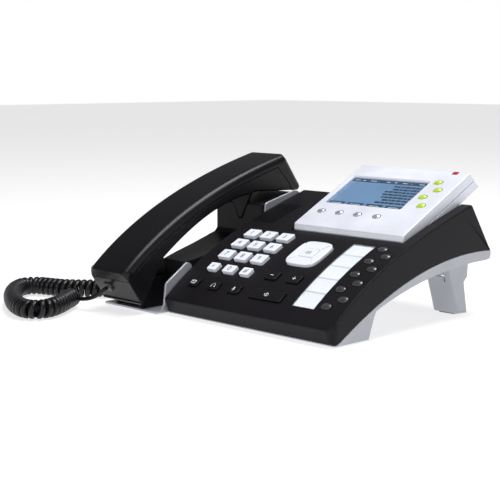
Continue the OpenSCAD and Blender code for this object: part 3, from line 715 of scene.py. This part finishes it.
ICONS = {
    "message_key": [([(-2.2, -1.5), (2.2, -1.5), (2.2, 1.5), (-2.2, 1.5)], 0.45, True),
                    ([(-2.2, 1.5), (0, -0.2), (2.2, 1.5)], 0.45, False)],
    "headset_key": [(arc_points(0, 0, 1.7, 200, -20), 0.5, False),
                    ([(-1.7, -0.6), (-1.7, -1.4)], 0.9, False), ([(1.7, -0.6), (1.7, -1.4)], 0.9, False)],
    "mute_key": [([(0, 1.3), (0, 0.1)], 1.2, False), (arc_points(0, 0.2, 1.4, 200, 340), 0.4, False),
                 ([(0, -1.2), (0, -2)], 0.4, False)],
    "speaker_key": [([(-1.8, 0.6), (-1.8, -0.6), (-0.9, -0.6), (0.4, -1.7), (0.4, 1.7), (-0.9, 0.6)],
                     0.5, True),
                    (arc_points(0, 0, 1.9, -45, 45), 0.45, False)],
    "volume_down_key": [([(-1.4, 0), (1.4, 0)], 0.5, False)],
    "volume_up_key": [([(-1.4, 0), (1.4, 0)], 0.5, False), ([(0, -1.4), (0, 1.4)], 0.5, False)],
    "menu_key": [([(-2.4, y), (2.4, y)], 0.5, False) for y in (-1.3, 0, 1.3)],
}


def icon(strokes, z):
    return joined([bar for points, w, closed in strokes for bar in stroke(list(points), w, z, closed)])


def navigation():
    rings = [[(*p, -4.2) for p in bulged(NAV_SIZE)]]
    rings += [[(*p, 1.1 + 0.7 * math.sin(a)) for p in bulged(NAV_SIZE - 1.4 * (1 - math.cos(a)))]
              for a in np.linspace(0, math.pi / 2, 5)]
    rings += [[(*p, z) for p in bulged(NAV_SIZE - inset)] for inset, z in ((4, 2.0), (8, 1.95), (12, 1.7))]
    pad = loft(rings)
    well = key_rect(*MENU)
    cutters = [loft([[(*p, z) for p in well(KEY_GAP + g)]
                     for g, z in ((0, -9), (0, 1.2), (0.5, 1.75), (0.5, 9))])]
    for sx in (-1, 1):
        for sy in (-1, 1):
            a, b = Vector((sx * 8.2, sy * 6.2)), Vector((sx * 14.2, sy * 14.2))
            n = (b - a).normalized().orthogonal() * 0.42
            cutters.append(loft([[(*p, z) for p in (a + n, a - n, b - n, b + n)] for z in (0.9, 9)]))
    pad = combine(pad, joined(cutters))
    piece("navigation_ring_piece", moved(pad, on_arch(*NAV_C)), "white_key", ["navigation_ring"])
    menu, marks = cap(key_rect(*MENU), -4.2, 2.2, r=0.5, dome=0.1), icon(ICONS["menu_key"], 2.2)
    for face in marks.faces:
        face.material_index = 1
    piece("menu_key_piece", moved(joined([menu, marks]), on_arch(*NAV_C)), "white_key", ["menu_key"],
          inks=("print_grey",))


def stand():
    profile = [[70, 41.6], [84.6, FOOT_LIFT], [94.5, FOOT_LIFT], [89.8, 25.4], [94, 29.5], [94.9, 42.2]]
    radii = [3.2 if p[0] < 88 else 0.8 for p in profile]
    pocket = [[74.4, 37], [86.9, 2.8], [110, 2.8], [110, 37]]
    places, width, wall = (-42.4, 82), 26, 2.2
    legs = [side_loft(profile, x, x + width, r=radii) for x in places]
    hollow = [loft([[(x, *p) for p in pocket] for x in (a + wall, a + width - wall)]) for a in places]
    across = joined([slab(x + 7, x + 19, 60, 79, 30.4, 31.6) for x in places])
    down = joined([slab(x + 17.8, x + 19, 60, 81, 26.6, 30.3) for x in places])
    legs = combine(combine(combine(joined(legs), joined(hollow)), across), down)
    plate = slab(-42, 107.6, 74, 90, 40.3, 41.5)
    piece("rear_stand_piece", joined([legs, plate]), "silver_casing", ["rear_stand"])


top_cover()
base_shell()
cradle_deck()
cradle_tray()
label_strip("label_card", "label_card", -1.2, -0.85)
label_strip("label_window", "label_window", -0.8, 0.1)
navigation()
keys_on_console()
stand()
banded(FINISH["label_card"], "Y", *LABEL_Y,
       [(i / 5 + at, grey(g)) for i in range(5) for at, g in ((0.004, 0.5), (0.018, 1.0), (0.19, 0.95))])


# ---- the display
def display_ring(z, v0, v1, inset=0.0, r=2.0):
    shape = rounded(DISP_W - 2 * inset, v1 - v0 - 2 * inset, max(r - inset, 0.6), n=6)
    return [(x + DISP_W / 2, y + (v0 + v1) / 2, z) for x, y in shape]


WINDOW = (5.2, 33.5, 77.3, 40.2)
SOFT_SIZE, LINE_SIZE = (7, 5), (7.2, 5.4)
SOFT = {f"soft_key_{i + 1}": (u, 20.4) for i, u in enumerate((12.5, 31.4, 50, 69))}
LINE_PLACES = ((91.2, 73.3), (97.7, 62.9), (91.2, 51.8), (97.7, 40.3))
LINE = {f"line_key_{i + 1}": p for i, p in enumerate(LINE_PLACES)}
LED = (97.5, 88)


def display_bezel():
    profile = [(-8.1, -2.3, 92.7), (-7.6, -2.7, 93.1), (-3.5, -2.7, 91.4)]
    rings = [display_ring(z, v0, v1, inset) for (z, v0, v1), inset in zip(profile, (0.7, 0, 0))]
    rings += [display_ring(0.7 * math.sin(a) - 0.7, -0.7, 90.9, 0.7 * (1 - math.cos(a)))
              for a in np.linspace(0, math.pi / 2, 6)]
    bezel = loft(rings)
    inside = loft([display_ring(z, v0, v1, 2) for z, v0, v1 in ((-9, -0.7, 90.9), (-2, 0.8, 88.6))])
    x, y, w, l = WINDOW
    frame_hole = [[(px + x + w / 2, py + y + l / 2, z) for px, py in rounded(w + 2 * g, l + 2 * g, 0.6 + g)]
                  for g, z in ((0, -6), (0, -1), (1.0, 0.05), (1.0, 4))]
    cutters = [loft(frame_hole)]
    for places, size in ((SOFT, SOFT_SIZE), (LINE, LINE_SIZE)):
        cutters += [moved(hole(key_pill(*size), -6, 0.3), Matrix.Translation(Vector((*p, 0)) * MM))
                    for p in places.values()]
    cutters.append(loft([[(px + LED[0], py + LED[1], z) for px, py in rounded(5.6, 4.2, 1.2)]
                         for z in (-6, 4)]))
    bezel = combine(combine(bezel, inside), joined(cutters))
    piece("display_bezel_piece", moved(bezel, on_display()), "display_white", ["display_bezel"])


def display_back():
    rings = [display_ring(z, v0, v1, inset) for z, v0, v1, inset in (
        (-8.1, -2.3, 92.8, 0.9), (-8.7, -2.7, 93.3, 0), (-11, -2.6, 94.2, 0), (-14.6, -0.4, 95.6, 0),
        (-15.5, 0.3, 95.8, 0.5), (-15.8, 1.0, 95.6, 1.2))]
    back = moved(loft(rings), on_display())
    pins = [loft([[(x + dx, HINGE[0] + 2 * math.cos(a), HINGE[1] + 2 * math.sin(a))
                   for a in np.linspace(0, 2 * math.pi, 24, endpoint=False)] for dx in (0, 3.2)])
            for x in (DISP_X - 3, DISP_X + DISP_W - 0.2)]
    piece("display_back_piece", combine(back, joined(pins), "UNION"), "display_white", ["display_back"])


def lcd():
    x, y, w, l = WINDOW
    glass = loft([[(px + x + w / 2, py + y + l / 2, z) for px, py in rounded(w + 3.6, l + 3.6, 0.5)]
                  for z in (-4.6, -2.05)])
    piece("lcd_panel_piece", moved(glass, on_display()), "lcd_glass", ["lcd_panel"])
    rng = np.random.default_rng(4)
    marks = {"lcd_ink": [], "lcd_lit": []}

    def bar(ink, u0, u1, v0, v1, lift=0.0):
        marks[ink].append(slab(x + u0, x + u1, y + v0, y + v1, -2.1, -2.0 + lift))

    bar("lcd_ink", 0.6, w - 0.6, l - 4.6, l - 0.5)
    for k in range(9):
        u = 3 + 8.2 * k
        bar("lcd_lit", u, u + 6 * rng.random(), l - 3, l - 2.2, 0.04)
    for k in range(4):
        u = 1.5 + k * w / 4
        bar("lcd_ink", u, u + w / 4 - 3, 0.7, 5.2)
        bar("lcd_lit", u + 3, u + w / 4 - 6, 2.6, 3.4, 0.04)
    for row in range(7):
        v, u = 7.6 + row * 3.9, w * (0.5 + 0.14 * rng.random())
        while u < w - 3:
            length = 1.6 + 4.2 * rng.random()
            bar("lcd_ink", u, min(u + length, w - 1.5), v, v + 2.2)
            u += length + 0.7
    for ink, bars in marks.items():
        made = piece(f"{ink}_marks", moved(joined(bars), on_display()), "lcd_glass", [], body="display")
        made.data.materials[0] = INK[ink]


display_bezel()
display_back()
lcd()
for places, size, slot in ((SOFT, SOFT_SIZE, "silver_key"), (LINE, LINE_SIZE, "lime_key")):
    for name, place in places.items():
        oval = cap(key_pill(*size), -3.6, 1.3, r=0.6, dome=0.75)
        piece(name + "_piece", moved(oval, on_display(*place)), slot, [name])
lens = cap(key_rect(5.4, 4.0, 1.2), -3, 0.3, r=0.3, dome=0.15)
piece("led_lens_piece", moved(lens, on_display(*LED)), "red_lens", ["led_lens"])


# ---- the handset
HS_BACK = np.array([[-106, 35.5], [-62, 76], [5, 102], [68, 117.5]], float)
HS_GRIP = np.array([[-68, 42], [-42, 62], [-12, 80], [22, 85.5]], float)
PART_GAP, HS_ROUND, HS_LOW_ROUND, EDGE = 0.2, 6.8, 2.2, 0.35
PART_DEPTH, PART_END = 8, 0.94   # the line between the shells: how deep under the back, and how far along it


def along(p, q, n):
    """Points from p towards q, without q."""
    return [np.array(p) + (np.array(q) - np.array(p)) * k / n for k in range(n)]


def handset():
    mouth_top, mouth_low = (-107.2, 33.4), (-103.5, 26.9)
    back = curve(HS_BACK, n=80)
    upper = curve(HS_BACK, -PART_DEPTH + PART_GAP, 70, 0, PART_END)
    lower = curve(HS_BACK, -PART_DEPTH - PART_GAP, 70, 0, PART_END)
    corner = [75.1 + PART_GAP, 86.4]
    end = soften([[70.5, 115.6], [87.2, 92.2], [87.6, 88.6], [85, 86], [80, 86], corner], 1.5)[3:-6]
    face = along(mouth_low, mouth_top, 8)
    outer = np.vstack([face, [mouth_top], back, end, [corner, [73 + PART_GAP, 92]], upper[::-1]])
    radii = [EDGE + (HS_ROUND - EDGE) * (k / 8) ** 1.5 for k in range(8)] + [HS_ROUND] * (1 + len(back))
    radii += [HS_ROUND + (2.0 - HS_ROUND) * k / len(end) for k in range(len(end))] + [EDGE] * (2 + len(upper))
    piece("handset_outer_shell_piece", side_loft(outer, HS_X, HS_X + HS_W, r=radii, steps=8), "black_handset",
          ["handset_outer_shell"])
    low = soften(np.vstack([[[60, 88], [36, 87.6]], curve(HS_GRIP, n=60)[::-1],
                            [[-89, 9], [-91.4, 7.6], [-93.4, 9.4]]]), 1.2)[6:]
    inner = np.vstack([[(-103.3, 26.5)], lower, [[73 - PART_GAP, 92], [74.8 - PART_GAP, 86.6]], low])
    radii = [EDGE] * (3 + len(lower)) + [HS_LOW_ROUND if p[1] > 24 else 0.8 for p in low]
    shell = side_loft(inner, HS_X, HS_X + HS_W, r=radii, steps=5)
    socket = moved(slab(-4.0, 4.0, -6, 10, -3.5, 3.5), Matrix.Translation(Vector((-95, -98.5, 20)) * MM)
                   @ Matrix.Rotation(math.radians(25.7), 4, "X"))
    piece("handset_inner_shell_piece", combine(shell, socket), "black_handset", ["handset_inner_shell"])


handset()

# ---- small parts that keep their CAD shape, with broken edges
for name, slot, width in (("hook_switch", "black_cover", 0.3), ("rubber_feet", "rubber", 0.3),
                          ("housing_screws", "screw_steel", 0.2), ("main_board", "circuit_board", 0.15),
                          ("loudspeaker", "speaker_black", 0.4), ("network_jack", "socket_black", 0.25),
                          ("power_jack", "socket_black", 0.25), ("handset_plug", "plug_clear", 0.3)):
    from_cad(name, slot, width)


# ---- studio
def studio():
    bm = bmesh.new()
    bmesh.ops.create_grid(bm, x_segments=2, y_segments=2, size=6)
    floor = as_object(bm, "floor")
    floor.location.z = -0.0002
    floor.data.materials.append(finish_of("floor", (0.38, 0.38, 0.38), 0.8, grain=40, bump=0.0, tint=0.01,
                                          Emission_Color=(1, 1, 1, 1), Emission_Strength=0.70))
    world = bpy.data.worlds.new("studio")
    bpy.context.scene.world = world
    world.use_nodes = True
    tree = world.node_tree
    coordinates = tree.nodes.new("ShaderNodeTexCoord")
    split = tree.nodes.new("ShaderNodeSeparateXYZ")
    tree.links.new(coordinates.outputs["Generated"], split.inputs["Vector"])
    ramp = tree.nodes.new("ShaderNodeValToRGB")
    ramp.color_ramp.elements[0].position, ramp.color_ramp.elements[0].color = 0.10, (1, 1, 1, 1)
    ramp.color_ramp.elements[1].position, ramp.color_ramp.elements[1].color = 0.32, (0.12, 0.12, 0.13, 1)
    tree.links.new(split.outputs["Z"], ramp.inputs["Fac"])
    background = tree.nodes["Background"]
    tree.links.new(ramp.outputs["Color"], background.inputs["Color"])
    background.inputs["Strength"].default_value = 1.0
    for name, place, aim, size, power in (
            ("overhead", (0.15, 0.1, 1.5), (0, 0, 0.05), (1.4, 0.6), 25),
            ("front", (0.5, -1.6, 0.9), (0, 0, 0.05), (1.2, 0.8), 7),
            ("right", (1.7, 0.3, 0.8), (0, 0, 0.05), (0.9, 0.9), 1.5)):
        data = bpy.data.lights.new(name, "AREA")
        data.shape, data.size, data.size_y, data.energy = "RECTANGLE", *size, power
        lamp = bpy.data.objects.new(name, data)
        lamp.location = place
        lamp.rotation_euler = (Vector(aim) - Vector(place)).to_track_quat("-Z", "Y").to_euler()
        bpy.context.collection.objects.link(lamp)
    bpy.context.scene.view_settings.view_transform = "Standard"


studio()

bpy.context.view_layer.update()
